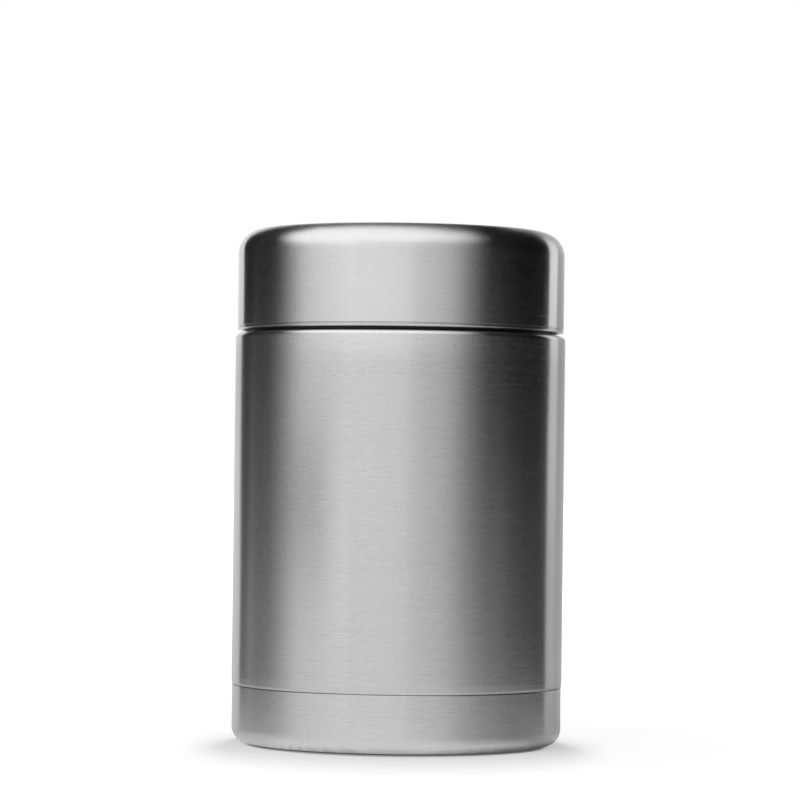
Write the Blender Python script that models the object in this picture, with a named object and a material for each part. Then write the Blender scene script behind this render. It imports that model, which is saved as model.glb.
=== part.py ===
"""Insulated lunch box: a round food jar with two steel walls, a pressed foot cup and a screw lid.

The jar stands on z = 0 and every round piece is turned about the z axis. A piece's outline is a
list of (radius, height) points in world heights. The lid is shown screwed down.
"""

import math

import bmesh
import bpy
from mathutils import Matrix

MM = 0.001

# Overall form
BODY_RADIUS = 50.0 * MM
TOTAL_HEIGHT = 155.0 * MM
SHOULDER_HEIGHT = 123.4 * MM  # top of the body's wall
SHOULDER_FILLET = 2.0 * MM
SEAM_HEIGHT = 17.7 * MM  # where the body meets the foot cup
GAP = 0.3 * MM  # between pieces that touch

# Outer shell: wall, the sleeve that the foot cup covers, and the neck
SHELL_WALL = 0.5 * MM
SLEEVE_RADIUS = 49.0 * MM
SLEEVE_BOTTOM = 7.0 * MM
TUCK_RADIUS = 49.6 * MM  # the wall draws in this far just above the seam
TUCK_RISE = 0.3 * MM
TUCK_TOP = SEAM_HEIGHT + 2.3 * MM
NECK_RADIUS = 42.9 * MM  # valley of the neck's thread
NECK_TOP = 139.6 * MM
NECK_ROOT_FILLET = 1.0 * MM

# Thread: two starts that run side by side
THREAD_LEAD = 10.0 * MM
THREAD_STARTS = 2
THREAD_PITCH = THREAD_LEAD / THREAD_STARTS
THREAD_DEPTH = 1.0 * MM
THREAD_CLEARANCE = 0.45 * MM
THREAD_FADE = 1.8 * MM  # height over which a ridge runs out at each end
NECK_THREAD = (126.0 * MM, 136.6 * MM)
LID_THREAD = (126.4 * MM, 138.4 * MM)
THREAD_RINGS = 12

# Inner liner
LINER_WALL = 0.45 * MM
LINER_RADIUS = 43.9 * MM  # inside
LINER_FLOOR = 16.5 * MM  # inside
LINER_FILLET = 12.0 * MM
MOUTH_RADIUS = 40.9 * MM
NECK_IN = (116.0 * MM, 122.0 * MM)
LIP_RADIUS = 1.05 * MM
RIM_TOP = NECK_TOP + GAP + LINER_WALL

# Foot cup
CUP_RADIUS = 49.8 * MM
CUP_WALL = 0.5 * MM
CUP_TOP = SEAM_HEIGHT - 0.2 * MM
CUP_FILLET = 4.8 * MM
FOOT_INNER_RADIUS = 37.0 * MM
RECESS_RADIUS = 34.0 * MM
RECESS_DEPTH = 1.2 * MM

# Closing dish of the vacuum space, its port and what is in there
DISH_RADIUS = SLEEVE_RADIUS - SHELL_WALL - GAP
DISH_WALL = 0.6 * MM
DISH_TOP = 11.9 * MM
DISH_FILLET = 2.0 * MM
DIMPLE_RADII = (4.1 * MM, 5.9 * MM)
DIMPLE_RISE = 1.0 * MM
PORT_RADIUS = 1.2 * MM
BEAD_RADIUS = 3.2 * MM
BEAD_DEPTH = 1.6 * MM
GETTER_OFFSET = 22.0 * MM
GETTER_RADIUS = 4.0 * MM
GETTER_HEIGHT = 1.6 * MM
CLIP_SHEET = 0.3 * MM
CLIP_WIDTH = 5.0 * MM
CLIP_FOOT = 3.2 * MM
FOIL_SHEET = 0.15 * MM
FOIL_HEIGHTS = (32.0 * MM, 112.0 * MM)
FOIL_OVERLAP = 9.0  # degrees
FOIL_DISC_RADIUS = 31.0 * MM

# Steel cap of the lid
CAP_RADIUS = 49.5 * MM
CAP_WALL = 0.5 * MM
CAP_BOTTOM = 124.6 * MM
CAP_FILLET = 7.3 * MM
HEM_RADIUS = 1.0 * MM
HEM_INNER_RADIUS = 47.9 * MM

# Plastic inner part of the lid: threaded skirt, seal groove and plug
SKIRT_INNER = NECK_RADIUS + THREAD_DEPTH + THREAD_CLEARANCE
SKIRT_OUTER = 45.8 * MM
SKIRT_BOTTOM = SHOULDER_HEIGHT + 0.35 * MM
FLANGE_RADIUS = 48.6 * MM
FLANGE_THICKNESS = 1.2 * MM
PLUG_RADIUS = 39.6 * MM
PLUG_WALL = 1.2 * MM
PLUG_BOTTOM = 134.0 * MM
GROOVE_RADII = (40.2 * MM, 43.8 * MM)
GROOVE_ROOF = 143.2 * MM
VENT_HOLE_RADIUS = 2.3 * MM

# Soft pieces of the lid
SEAL_HEIGHT = 2.25 * MM
SEAL_CHAMFER = 0.5 * MM
FOAM_RADIUS = 46.5 * MM
FOAM_POCKET = (5.0 * MM, 140.5 * MM)
VENT_DISC_RADIUS = 6.0 * MM
VENT_DISC_THICKNESS = 1.0 * MM
VENT_STEM_RADIUS = 1.6 * MM
VENT_BARB_RADIUS = 2.9 * MM
VENT_TRAVEL = 1.2 * MM

# Steps round the axis
OUTER_STEPS = 56
INNER_STEPS = 40
SMALL_STEPS = 20

# Colour, roughness and metallic value
FINISHES = {
    "brushed_steel": ((0.60, 0.60, 0.60), 0.34, 1.0),
    "drawn_steel": ((0.66, 0.66, 0.65), 0.22, 1.0),
    "plain_steel": ((0.50, 0.50, 0.50), 0.45, 1.0),
    "copper_foil": ((0.80, 0.47, 0.33), 0.30, 1.0),
    "getter_metal": ((0.25, 0.25, 0.27), 0.60, 1.0),
    "solder": ((0.70, 0.70, 0.68), 0.35, 1.0),
    "black_plastic": ((0.018, 0.018, 0.019), 0.48, 0.0),
    "pale_silicone": ((0.72, 0.72, 0.70), 0.55, 0.0),
    "white_foam": ((0.86, 0.86, 0.84), 0.90, 0.0),
}


def clear_scene():
    for item in list(bpy.data.objects):
        bpy.data.objects.remove(item, do_unlink=True)


def make_material(piece_name, finish):
    colour, roughness, metallic = FINISHES[finish]
    material = bpy.data.materials.new(piece_name + "_" + finish)
    material.use_nodes = True
    shader = material.node_tree.nodes["Principled BSDF"]
    shader.inputs["Base Color"].default_value = (*colour, 1.0)
    shader.inputs["Roughness"].default_value = roughness
    shader.inputs["Metallic"].default_value = metallic
    material.diffuse_color = (*colour, 1.0)
    return material


def place(bm, name, finish, holder):
    """Turns a finished bmesh into a named object held by an empty on the jar's axis."""
    mesh = bpy.data.meshes.new(name)
    bm.to_mesh(mesh)
    bm.free()
    mesh.shade_smooth()
    mesh.set_sharp_from_angle(angle=math.radians(35))
    mesh.materials.append(make_material(name, finish))
    piece = bpy.data.objects.new(name, mesh)
    bpy.context.scene.collection.objects.link(piece)
    piece.parent = holder
    piece.location = (0.0, 0.0, -holder.location.z)
    return piece


def make_holder(name, height):
    """An empty on the jar's axis: what it carries turns about it and slides along it."""
    holder = bpy.data.objects.new(name, None)
    holder.empty_display_size = 20 * MM
    holder.location = (0.0, 0.0, height)
    bpy.context.scene.collection.objects.link(holder)
    return holder


def arc(centre, radius, start, end, count):
    """Points on an arc of an outline, from one angle to another in degrees."""
    angles = [math.radians(start + (end - start) * i / count) for i in range(count + 1)]
    return [(centre[0] + radius * math.cos(a), centre[1] + radius * math.sin(a)) for a in angles]


def eased(start, end, count):
    """Points of a smooth S between two points of an outline, without the two ends."""
    points = []
    for i in range(1, count):
        share = i / count
        ease = 0.5 - 0.5 * math.cos(math.pi * share)
        radius = start[0] + (end[0] - start[0]) * ease
        points.append((radius, start[1] + (end[1] - start[1]) * share))
    return points


def spin_outline(outline, steps):
    """Turns an outline about the z axis. One that ends on the axis closes there, others are rings."""
    bm = bmesh.new()
    points = [bm.verts.new((radius, 0.0, height)) for radius, height in outline]
    edges = [bm.edges.new(pair) for pair in zip(points, points[1:])]
    if outline[0][0] > 0.0:
        edges.append(bm.edges.new((points[-1], points[0])))
    bmesh.ops.spin(
        bm,
        geom=points + edges,
        cent=(0.0, 0.0, 0.0),
        axis=(0.0, 0.0, 1.0),
        angle=math.tau,
        steps=steps,
        use_merge=True,
    )
    bmesh.ops.remove_doubles(bm, verts=bm.verts, dist=0.0005 * MM)
    bmesh.ops.recalc_face_normals(bm, faces=bm.faces)
    return bm


def turned(name, outline, finish, holder, steps):
    return place(spin_outline(outline, steps), name, finish, holder)


def ring_heights(zone):
    return [zone[0] + (zone[1] - zone[0]) * i / THREAD_RINGS for i in range(THREAD_RINGS + 1)]


def thread_wave(angle, height):
    """0 in the valley and 1 on the crest of a right-hand thread."""
    turns = (height - THREAD_LEAD * angle / math.tau) / THREAD_PITCH
    return 0.5 - 0.5 * math.cos(math.tau * turns)


def run_out(height, zone):
    """1 inside the threaded zone, easing to 0 at both of its ends."""
    share = min(height - zone[0], zone[1] - height) / THREAD_FADE
    share = max(0.0, min(1.0, share))
    return share * share * (3.0 - 2.0 * share)


def cut_thread(bm, wall_radius, zone, offset):
    """Moves the rings of a cylindrical wall in or out by offset(angle, height)."""
    for vert in bm.verts:
        radius = math.hypot(vert.co.x, vert.co.y)
        on_wall = abs(radius - wall_radius) < 0.001 * MM
        if on_wall and zone[0] < vert.co.z < zone[1]:
            angle = math.atan2(vert.co.y, vert.co.x)
            scale = (wall_radius + offset(angle, vert.co.z)) / wall_radius
            vert.co.x *= scale
            vert.co.y *= scale


def shell_side(inset):
    """The shell's surface from the sleeve's lower edge to the neck's root, moved in by inset."""
    shoulder = (BODY_RADIUS - SHOULDER_FILLET, SHOULDER_HEIGHT - SHOULDER_FILLET)
    root = (NECK_RADIUS + NECK_ROOT_FILLET, SHOULDER_HEIGHT + NECK_ROOT_FILLET)
    step_lift = 0.4 * inset
    tuck_start = (TUCK_RADIUS - inset, SEAM_HEIGHT + TUCK_RISE + step_lift)
    tuck_end = (BODY_RADIUS - inset, TUCK_TOP + step_lift)
    return [
        (SLEEVE_RADIUS - inset, SLEEVE_BOTTOM),
        (SLEEVE_RADIUS - inset, SEAM_HEIGHT + step_lift),
        tuck_start,
        *eased(tuck_start, tuck_end, 3),
        tuck_end,
        *arc(shoulder, SHOULDER_FILLET - inset, 0, 90, 4),
        *arc(root, NECK_ROOT_FILLET + inset, 270, 180, 3),
    ]


def build_outer_shell(jar):
    neck = [(NECK_RADIUS, height) for height in ring_heights(NECK_THREAD)]
    inside = [(NECK_RADIUS - SHELL_WALL, NECK_TOP), *reversed(shell_side(SHELL_WALL))]
    outline = [*shell_side(0.0), *neck, (NECK_RADIUS, NECK_TOP), *inside]
    bm = spin_outline(outline, OUTER_STEPS)
    cut_thread(
        bm,
        NECK_RADIUS,
        NECK_THREAD,
        lambda angle, z: THREAD_DEPTH * thread_wave(angle, z) * run_out(z, NECK_THREAD),
    )
    place(bm, "outer_shell", "brushed_steel", jar)


def liner_side(outset):
    """The liner's surface from its centre to the lip, moved out by outset."""
    corner = (LINER_RADIUS - LINER_FILLET, LINER_FLOOR + LINER_FILLET)
    lip = (MOUTH_RADIUS + LIP_RADIUS, RIM_TOP - LIP_RADIUS)
    wide = (LINER_RADIUS + outset, NECK_IN[0])
    narrow = (MOUTH_RADIUS + outset, NECK_IN[1])
    return [
        (0.0, LINER_FLOOR - outset),
        *arc(corner, LINER_FILLET + outset, 270, 360, 6),
        wide,
        *eased(wide, narrow, 4),
        narrow,
        *arc(lip, LIP_RADIUS - outset, 180, 90, 3),
    ]


def build_inner_liner(jar):
    edge = [(NECK_RADIUS, RIM_TOP), (NECK_RADIUS, RIM_TOP - LINER_WALL)]
    outline = [*liner_side(0.0), *edge, *reversed(liner_side(LINER_WALL))]
    turned("inner_liner", outline, "drawn_steel", jar, INNER_STEPS)


def cup_side(inset):
    """The foot cup's surface from its centre to its top edge, moved in by inset."""
    corner = (CUP_RADIUS - CUP_FILLET, CUP_FILLET)
    return [
        (0.0, RECESS_DEPTH + inset),
        (RECESS_RADIUS, RECESS_DEPTH + inset),
        (FOOT_INNER_RADIUS, inset),
        *arc(corner, CUP_FILLET - inset, 270, 360, 5),
        (CUP_RADIUS - inset, CUP_TOP),
    ]


def build_base_cup(jar):
    outline = [*cup_side(0.0), *reversed(cup_side(CUP_WALL))]
    turned("base_cup", outline, "brushed_steel", jar, OUTER_STEPS)


def dish_side(inset):
    """The closing dish's upper surface from the port to its turned-down edge, moved in by inset."""
    corner = (DISH_RADIUS - DISH_FILLET, DISH_TOP - DISH_FILLET)
    dimple_shift = 0.5 * inset
    return [
        (PORT_RADIUS, DISH_TOP + DIMPLE_RISE - inset),
        (DIMPLE_RADII[0] - dimple_shift, DISH_TOP + DIMPLE_RISE - inset),
        (DIMPLE_RADII[1] - dimple_shift, DISH_TOP - inset),
        *arc(corner, DISH_FILLET - inset, 90, 0, 3),
        (DISH_RADIUS - inset, SLEEVE_BOTTOM + GAP),
    ]


def build_vacuum_base(jar):
    outline = [*dish_side(0.0), *reversed(dish_side(DISH_WALL))]
    turned("vacuum_base", outline, "plain_steel", jar, INNER_STEPS)


def build_vacuum_seal(jar):
    """A bead of solder in the dimple, under the hole through which the air was drawn out."""
    top = DISH_TOP + DIMPLE_RISE - DISH_WALL - GAP
    outline = [
        (0.0, top),
        (BEAD_RADIUS * 0.8, top),
        (BEAD_RADIUS, top - BEAD_DEPTH * 0.25),
        (BEAD_RADIUS * 0.75, top - BEAD_DEPTH * 0.75),
        (0.0, top - BEAD_DEPTH),
    ]
    turned("vacuum_seal", outline, "solder", jar, SMALL_STEPS)


def build_getter(jar):
    """The pill that keeps the vacuum, lying on the closing dish."""
    bm = bmesh.new()
    bmesh.ops.create_cone(
        bm,
        cap_ends=True,
        segments=SMALL_STEPS,
        radius1=GETTER_RADIUS,
        radius2=GETTER_RADIUS,
        depth=GETTER_HEIGHT,
        matrix=Matrix.Translation((GETTER_OFFSET, 0.0, DISH_TOP + GAP + GETTER_HEIGHT / 2)),
    )
    place(bm, "getter", "getter_metal", jar)


def build_getter_clip(jar):
    """A bent strap over the pill, spot welded to the dish by its two feet."""
    foot = DISH_TOP + GAP
    roof = foot + GETTER_HEIGHT + GAP
    leg = GETTER_RADIUS + 0.4 * MM
    half = [
        (leg + CLIP_FOOT, foot + CLIP_SHEET),
        (leg + CLIP_FOOT, foot),
        (leg, foot),
        (leg, roof),
    ]
    over = [(leg + CLIP_SHEET, roof + CLIP_SHEET), (leg + CLIP_SHEET, foot + CLIP_SHEET)]
    left = [(-across, height) for across, height in reversed(half)]
    left_over = [(-across, height) for across, height in reversed(over)]
    outline = [*half, *left, *left_over, *over]
    bm = bmesh.new()
    points = [bm.verts.new((GETTER_OFFSET + x, -CLIP_WIDTH / 2, z)) for x, z in outline]
    face = bm.faces.new(points)
    grown = bmesh.ops.extrude_face_region(bm, geom=[face])
    moved = [item for item in grown["geom"] if isinstance(item, bmesh.types.BMVert)]
    bmesh.ops.translate(bm, verts=moved, vec=(0.0, CLIP_WIDTH, 0.0))
    bmesh.ops.recalc_face_normals(bm, faces=bm.faces)
    place(bm, "getter_clip", "plain_steel", jar)


def build_foil_wrap(jar):
    """Foil wound once round the liner, its end lapping over its start."""
    start_radius = LINER_RADIUS + LINER_WALL + 1.5 * GAP
    growth = FOIL_SHEET + GAP
    sweep = math.tau + math.radians(FOIL_OVERLAP)
    bm = bmesh.new()
    rings = []
    for i in range(INNER_STEPS + 2):
        angle = sweep * i / (INNER_STEPS + 1)
        radius = start_radius + growth * angle / math.tau
        corners = [
            (radius, FOIL_HEIGHTS[0]),
            (radius + FOIL_SHEET, FOIL_HEIGHTS[0]),
            (radius + FOIL_SHEET, FOIL_HEIGHTS[1]),
            (radius, FOIL_HEIGHTS[1]),
        ]
        rings.append([bm.verts.new((r * math.cos(angle), r * math.sin(angle), z)) for r, z in corners])
    for ring, following in zip(rings, rings[1:]):
        for k in range(4):
            bm.faces.new((ring[k], ring[(k + 1) % 4], following[(k + 1) % 4], following[k]))
    bm.faces.new(rings[0])
    bm.faces.new(rings[-1])
    bmesh.ops.recalc_face_normals(bm, faces=bm.faces)
    place(bm, "foil_wrap", "copper_foil", jar)


def build_foil_disc(jar):
    """A round of the same foil under the liner's floor."""
    top = LINER_FLOOR - LINER_WALL - GAP
    outline = [
        (0.0, top),
        (FOIL_DISC_RADIUS, top),
        (FOIL_DISC_RADIUS, top - FOIL_SHEET),
        (0.0, top - FOIL_SHEET),
    ]
    turned("foil_disc", outline, "copper_foil", jar, SMALL_STEPS)


def cap_side(inset):
    """The steel cap's surface from the hem's inner edge to the centre of the top, moved in."""
    hem = (CAP_RADIUS - HEM_RADIUS, CAP_BOTTOM + HEM_RADIUS)
    corner = (CAP_RADIUS - CAP_FILLET, TOTAL_HEIGHT - CAP_FILLET)
    return [
        (HEM_INNER_RADIUS, CAP_BOTTOM + inset),
        *arc(hem, HEM_RADIUS - inset, 270, 360, 2),
        *arc(corner, CAP_FILLET - inset, 0, 90, 6),
        (0.0, TOTAL_HEIGHT - inset),
    ]


def build_lid_cap(lid):
    outline = [*reversed(cap_side(CAP_WALL)), *cap_side(0.0)]
    turned("lid_cap", outline, "brushed_steel", lid, OUTER_STEPS)


def lid_liner_underside():
    """From the vent hole across the plug and the seal groove to the skirt's inner wall."""
    corner = (PLUG_RADIUS - PLUG_WALL, PLUG_BOTTOM + PLUG_WALL)
    inner, outer = GROOVE_RADII
    return [
        (VENT_HOLE_RADIUS, PLUG_BOTTOM),
        *arc(corner, PLUG_WALL, 270, 360, 2),
        (PLUG_RADIUS, RIM_TOP - 0.7 * MM),
        (inner, RIM_TOP),
        (inner, GROOVE_ROOF),
        (outer, GROOVE_ROOF),
        (outer, RIM_TOP + 0.4 * MM),
        (SKIRT_INNER, RIM_TOP - 0.2 * MM),
    ]


def lid_liner_topside():
    """From the skirt's lip over the flange and the web to the plug's floor."""
    flange = CAP_BOTTOM + CAP_WALL + GAP
    top = GROOVE_ROOF + PLUG_WALL
    plug_inner = PLUG_RADIUS - PLUG_WALL
    floor = PLUG_BOTTOM + PLUG_WALL
    return [
        (SKIRT_INNER, SKIRT_BOTTOM + 0.4 * MM),
        (SKIRT_INNER + 0.3 * MM, SKIRT_BOTTOM),
        (SKIRT_OUTER, SKIRT_BOTTOM),
        (SKIRT_OUTER, flange),
        (FLANGE_RADIUS, flange),
        (FLANGE_RADIUS, flange + FLANGE_THICKNESS),
        (SKIRT_OUTER, flange + FLANGE_THICKNESS),
        (SKIRT_OUTER, top - 1.0 * MM),
        (SKIRT_OUTER - 1.0 * MM, top),
        (plug_inner, top),
        (plug_inner, floor + 0.5 * MM),
        (plug_inner - 0.5 * MM, floor),
        (VENT_HOLE_RADIUS, floor),
    ]


def build_lid_liner(lid):
    skirt = [(SKIRT_INNER, height) for height in reversed(ring_heights(LID_THREAD))]
    bm = spin_outline([*lid_liner_underside(), *skirt, *lid_liner_topside()], OUTER_STEPS)
    cut_thread(
        bm,
        SKIRT_INNER,
        LID_THREAD,
        lambda angle, z: -THREAD_DEPTH * (1.0 - thread_wave(angle, z)) * run_out(z, LID_THREAD),
    )
    place(bm, "lid_liner", "black_plastic", lid)


def build_lid_foam(lid):
    """Insulation that fills the plug and the space under the steel top."""
    top = TOTAL_HEIGHT - CAP_WALL - GAP
    shelf = GROOVE_ROOF + PLUG_WALL + GAP
    plug = PLUG_RADIUS - PLUG_WALL - GAP
    floor = PLUG_BOTTOM + PLUG_WALL + GAP
    pocket_radius, pocket_top = FOAM_POCKET
    outline = [
        (0.0, top),
        (FOAM_RADIUS - 5.0 * MM, top),
        (FOAM_RADIUS, top - 5.2 * MM),
        (FOAM_RADIUS, shelf),
        (plug, shelf),
        (plug, floor + 0.5 * MM),
        (plug - 0.5 * MM, floor),
        (pocket_radius, floor),
        (pocket_radius, pocket_top),
        (0.0, pocket_top),
    ]
    turned("lid_foam", outline, "white_foam", lid, INNER_STEPS)


def build_seal_ring(seal):
    """The ring that the lid presses on the rim. It lies loose in the lid's groove."""
    inner = GROOVE_RADII[0] + GAP
    outer = GROOVE_RADII[1] - GAP
    bottom = RIM_TOP + GAP
    top = bottom + SEAL_HEIGHT
    chamfer = SEAL_CHAMFER
    outline = [
        (inner, bottom + chamfer),
        (inner + chamfer, bottom),
        (outer - chamfer, bottom),
        (outer, bottom + chamfer),
        (outer, top - chamfer),
        (outer - chamfer, top),
        (inner + chamfer, top),
        (inner, top - chamfer),
    ]
    turned("seal_ring", outline, "pale_silicone", seal, INNER_STEPS)


def build_vent_valve(vent):
    """Umbrella valve: a disc under the plug, a stem through it and a barb above its floor."""
    seat = PLUG_BOTTOM - GAP
    barb = PLUG_BOTTOM + PLUG_WALL + GAP + VENT_TRAVEL
    outline = [
        (0.0, seat - VENT_DISC_THICKNESS),
        (VENT_DISC_RADIUS * 0.4, seat - VENT_DISC_THICKNESS * 0.95),
        (VENT_DISC_RADIUS * 0.9, seat - VENT_DISC_THICKNESS * 0.45),
        (VENT_DISC_RADIUS, seat - VENT_DISC_THICKNESS * 0.2),
        (VENT_DISC_RADIUS * 0.96, seat),
        (VENT_STEM_RADIUS, seat),
        (VENT_STEM_RADIUS, barb),
        (VENT_BARB_RADIUS, barb),
        (VENT_BARB_RADIUS, barb + 0.5 * MM),
        (VENT_STEM_RADIUS * 0.7, barb + 2.6 * MM),
        (0.0, barb + 2.9 * MM),
    ]
    turned("vent_valve", outline, "pale_silicone", vent, SMALL_STEPS)


def main():
    clear_scene()
    jar = make_holder("jar_axis", 0.0)
    seal = make_holder("seal_axis", RIM_TOP)
    lid = make_holder("lid_axis", CAP_BOTTOM)
    vent = make_holder("vent_axis", PLUG_BOTTOM)
    build_outer_shell(jar)
    build_inner_liner(jar)
    build_base_cup(jar)
    build_vacuum_base(jar)
    build_vacuum_seal(jar)
    build_getter(jar)
    build_getter_clip(jar)
    build_foil_wrap(jar)
    build_foil_disc(jar)
    build_seal_ring(seal)
    build_lid_cap(lid)
    build_lid_liner(lid)
    build_lid_foam(lid)
    build_vent_valve(vent)


main()
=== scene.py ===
import math

import bpy
import numpy as np
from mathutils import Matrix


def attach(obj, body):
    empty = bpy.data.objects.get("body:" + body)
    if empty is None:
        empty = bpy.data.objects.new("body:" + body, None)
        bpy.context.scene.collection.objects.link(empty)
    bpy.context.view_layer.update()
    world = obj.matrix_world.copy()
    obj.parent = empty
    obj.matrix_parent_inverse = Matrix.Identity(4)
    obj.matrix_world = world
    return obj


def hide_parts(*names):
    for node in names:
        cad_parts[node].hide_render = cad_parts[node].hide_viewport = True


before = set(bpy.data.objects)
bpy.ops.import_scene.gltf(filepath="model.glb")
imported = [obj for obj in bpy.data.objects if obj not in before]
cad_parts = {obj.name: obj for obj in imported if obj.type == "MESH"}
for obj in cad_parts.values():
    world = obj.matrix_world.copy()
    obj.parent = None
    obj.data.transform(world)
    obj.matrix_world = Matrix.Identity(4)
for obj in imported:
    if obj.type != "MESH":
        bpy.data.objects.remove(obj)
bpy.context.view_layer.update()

mm = 0.001  # outlines below are in millimetres, and meshes are in metres


def easeBetween(value, start, end):
    # 0 at the start and 1 at the end, level at both.
    share = np.clip((value - start) / (end - start), 0, 1)
    return share * share * (3 - 2 * share)


def newObject(name, data):
    item = bpy.data.objects.new(name, data)
    bpy.context.scene.collection.objects.link(item)
    return item


# Outlines and turned surfaces

surfaceDetail = {
    "turns": 256,  # columns round the axis
    "arcStep": 6.0,  # degrees between the points of a rounded corner
    "hold": 0.4,  # a point this far from an arc keeps the flat stretch beside it flat,
    "leastFlat": 1.2,  # where it is at least this long
    "sharpAngle": 40,  # an edge that bends more, in degrees, isn't smoothed over
    "same": 1e-6,  # lengths closer than this count as the same
}


def roundedLine(corners, closed):
    # A corner is (radius, height, rounding). Its arc has its centre on the line that halves the
    # corner, at rounding / sin(half the angle), and touches both edges at rounding / tan(half).
    corners = np.array(corners, float)
    places, roundings = corners[:, :2], corners[:, 2]
    line = []
    for k, here in enumerate(places):
        isEnd = not closed and k in (0, len(places) - 1)
        if isEnd or roundings[k] == 0:
            line.append(here[None])
            continue
        toLast, toNext = places[k - 1] - here, places[(k + 1) % len(places)] - here
        lastLength, nextLength = np.linalg.norm(toLast), np.linalg.norm(toNext)
        toLast, toNext = toLast / lastLength, toNext / nextLength
        half = math.acos(np.clip(toLast @ toNext, -1, 1)) / 2
        reach = roundings[k] / math.tan(half)
        middle = (toLast + toNext) / np.linalg.norm(toLast + toNext)
        centre = here + middle * roundings[k] / math.sin(half)
        sweep = math.pi - 2 * half
        count = max(3, math.ceil(math.degrees(sweep) / surfaceDetail["arcStep"]))
        share = np.linspace(0, 1, count + 1)[:, None]
        first, last = here + toLast * reach - centre, here + toNext * reach - centre
        turned = np.sin((1 - share) * sweep) * first + np.sin(share * sweep) * last
        arc = centre + turned / math.sin(sweep)
        hold, leastFlat = surfaceDetail["hold"], surfaceDetail["leastFlat"]
        if lastLength > reach + leastFlat:
            line.append((here + toLast * (reach + hold))[None])
        line.append(arc)
        if nextLength > reach + leastFlat:
            line.append((here + toNext * (reach + hold))[None])
    return np.concatenate(line)


def dividedLine(line, radius, low, high, spacing):
    # Puts evenly spaced points on the straight stretch at this radius between two heights.
    onWall = np.abs(line[:, 0] - radius) < surfaceDetail["same"]
    longest = np.where(onWall[:-1] & onWall[1:], np.abs(line[1:, 1] - line[:-1, 1]), 0).argmax()
    start, end = line[longest, 1], line[longest + 1, 1]
    heights = np.linspace(low, high, math.ceil((high - low) / spacing) + 1)
    if end < start:
        heights = heights[::-1]
    ring = np.stack([np.full_like(heights, radius), heights], 1)
    return np.concatenate([line[: longest + 1], ring, line[longest + 1 :]])


def turnedSurface(name, line, closed, offset=None):
    # The outline turned round the z axis: x = radius cos(angle), y = radius sin(angle), z = height.
    # offset(angle, radius, height) is added to the radius. An end on the axis becomes one point.
    turns = surfaceDetail["turns"]
    angles = np.arange(turns) * (2 * math.pi / turns)
    onAxis = line[:, 0] < surfaceDetail["same"]
    rings = line[~onAxis]
    radius, angle = np.meshgrid(rings[:, 0], angles, indexing="ij")
    height = np.repeat(rings[:, 1:], turns, axis=1)
    if offset is not None:
        radius = radius + offset(angle, radius, height)
    points = np.stack([radius * np.cos(angle), radius * np.sin(angle), height], -1).reshape(-1, 3)
    count = len(rings)
    bands = count if closed else count - 1
    row, column = np.meshgrid(np.arange(bands), np.arange(turns), indexing="ij")
    here, above, nextColumn = row * turns, (row + 1) % count * turns, (column + 1) % turns
    quads = [here + column, here + nextColumn, above + nextColumn, above + column]
    faces = np.stack(quads, -1).reshape(-1, 4).tolist()
    side = np.arange(turns)
    nextSide = (side + 1) % turns
    if onAxis[0]:
        pole = len(points)
        points = np.vstack([points, [0, 0, line[0, 1]]])
        faces += np.stack([np.full(turns, pole), nextSide, side], 1).tolist()
    if onAxis[-1]:
        pole = len(points)
        last = (count - 1) * turns
        points = np.vstack([points, [0, 0, line[-1, 1]]])
        faces += np.stack([np.full(turns, pole), last + side, last + nextSide], 1).tolist()
    mesh = bpy.data.meshes.new(name)
    mesh.from_pydata((points * mm).tolist(), [], faces)
    mesh.shade_smooth()
    mesh.set_sharp_from_angle(angle=math.radians(surfaceDetail["sharpAngle"]))
    return newObject(name, mesh)


def finishPiece(piece, body, node, material):
    piece.data.materials.append(material)
    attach(piece, body)
    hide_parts(node)
    print("made", piece.name, "with", len(piece.data.polygons), "faces")


# The screw thread

threadShape = {
    "lead": 10.0,  # rise in one turn
    "pitch": 5.0,  # two starts side by side
    "depth": 1.0,
    "fade": 1.8,  # height over which a ridge runs out
    "neckZone": (126.0, 136.6),
    "lidZone": (126.4, 138.4),
    "spacing": 0.2,  # height between two rings of points
}


def threadWave(angle, height):
    # 0 in the valley and 1 on the crest, for a ridge that climbs by the lead in each turn.
    turnsUp = (height - threadShape["lead"] * angle / (2 * math.pi)) / threadShape["pitch"]
    return 0.5 - 0.5 * np.cos(2 * math.pi * turnsUp)


def runOut(height, zone):
    # 1 inside the zone, easing to 0 at both of its ends.
    return easeBetween(np.minimum(height - zone[0], zone[1] - height), 0, threadShape["fade"])


def neckOffset(angle, radius, height):
    # Ridges stand out from the neck.
    onWall = np.abs(radius - shellShape["neckRadius"]) < surfaceDetail["same"]
    ridge = threadWave(angle, height) * runOut(height, threadShape["neckZone"])
    return np.where(onWall, threadShape["depth"] * ridge, 0)


def lidOffset(angle, radius, height):
    # Ridges stand inward from the skirt, and lie in the valleys of the neck.
    onWall = np.abs(radius - lidLinerShape["skirtInner"]) < surfaceDetail["same"]
    ridge = (1 - threadWave(angle, height)) * runOut(height, threadShape["lidZone"])
    return np.where(onWall, -threadShape["depth"] * ridge, 0)


# Node tools

def newMaterial(name):
    material = bpy.data.materials.new(name)
    material.use_nodes = True
    material.node_tree.nodes.clear()
    return material


def put(tree, kind, place, settings=None, values=None):
    node = tree.nodes.new(kind)
    node.location = (place[0] * 200, place[1] * -200)
    for key, value in (settings or {}).items():
        setattr(node, key, value)
    for key, value in (values or {}).items():
        node.inputs[key].default_value = value
    return node


def join(tree, fromNode, fromSocket, toNode, toSocket):
    tree.links.new(fromNode.outputs[fromSocket], toNode.inputs[toSocket])


def feed(tree, node, inputs):
    # Each input is a value, or a pair of a node and the output of it that is joined here.
    for k, source in enumerate(inputs):
        if isinstance(source, tuple) and isinstance(source[0], bpy.types.Node):
            join(tree, *source, node, k)
        elif source is not None:
            node.inputs[k].default_value = source
    return node


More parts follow.
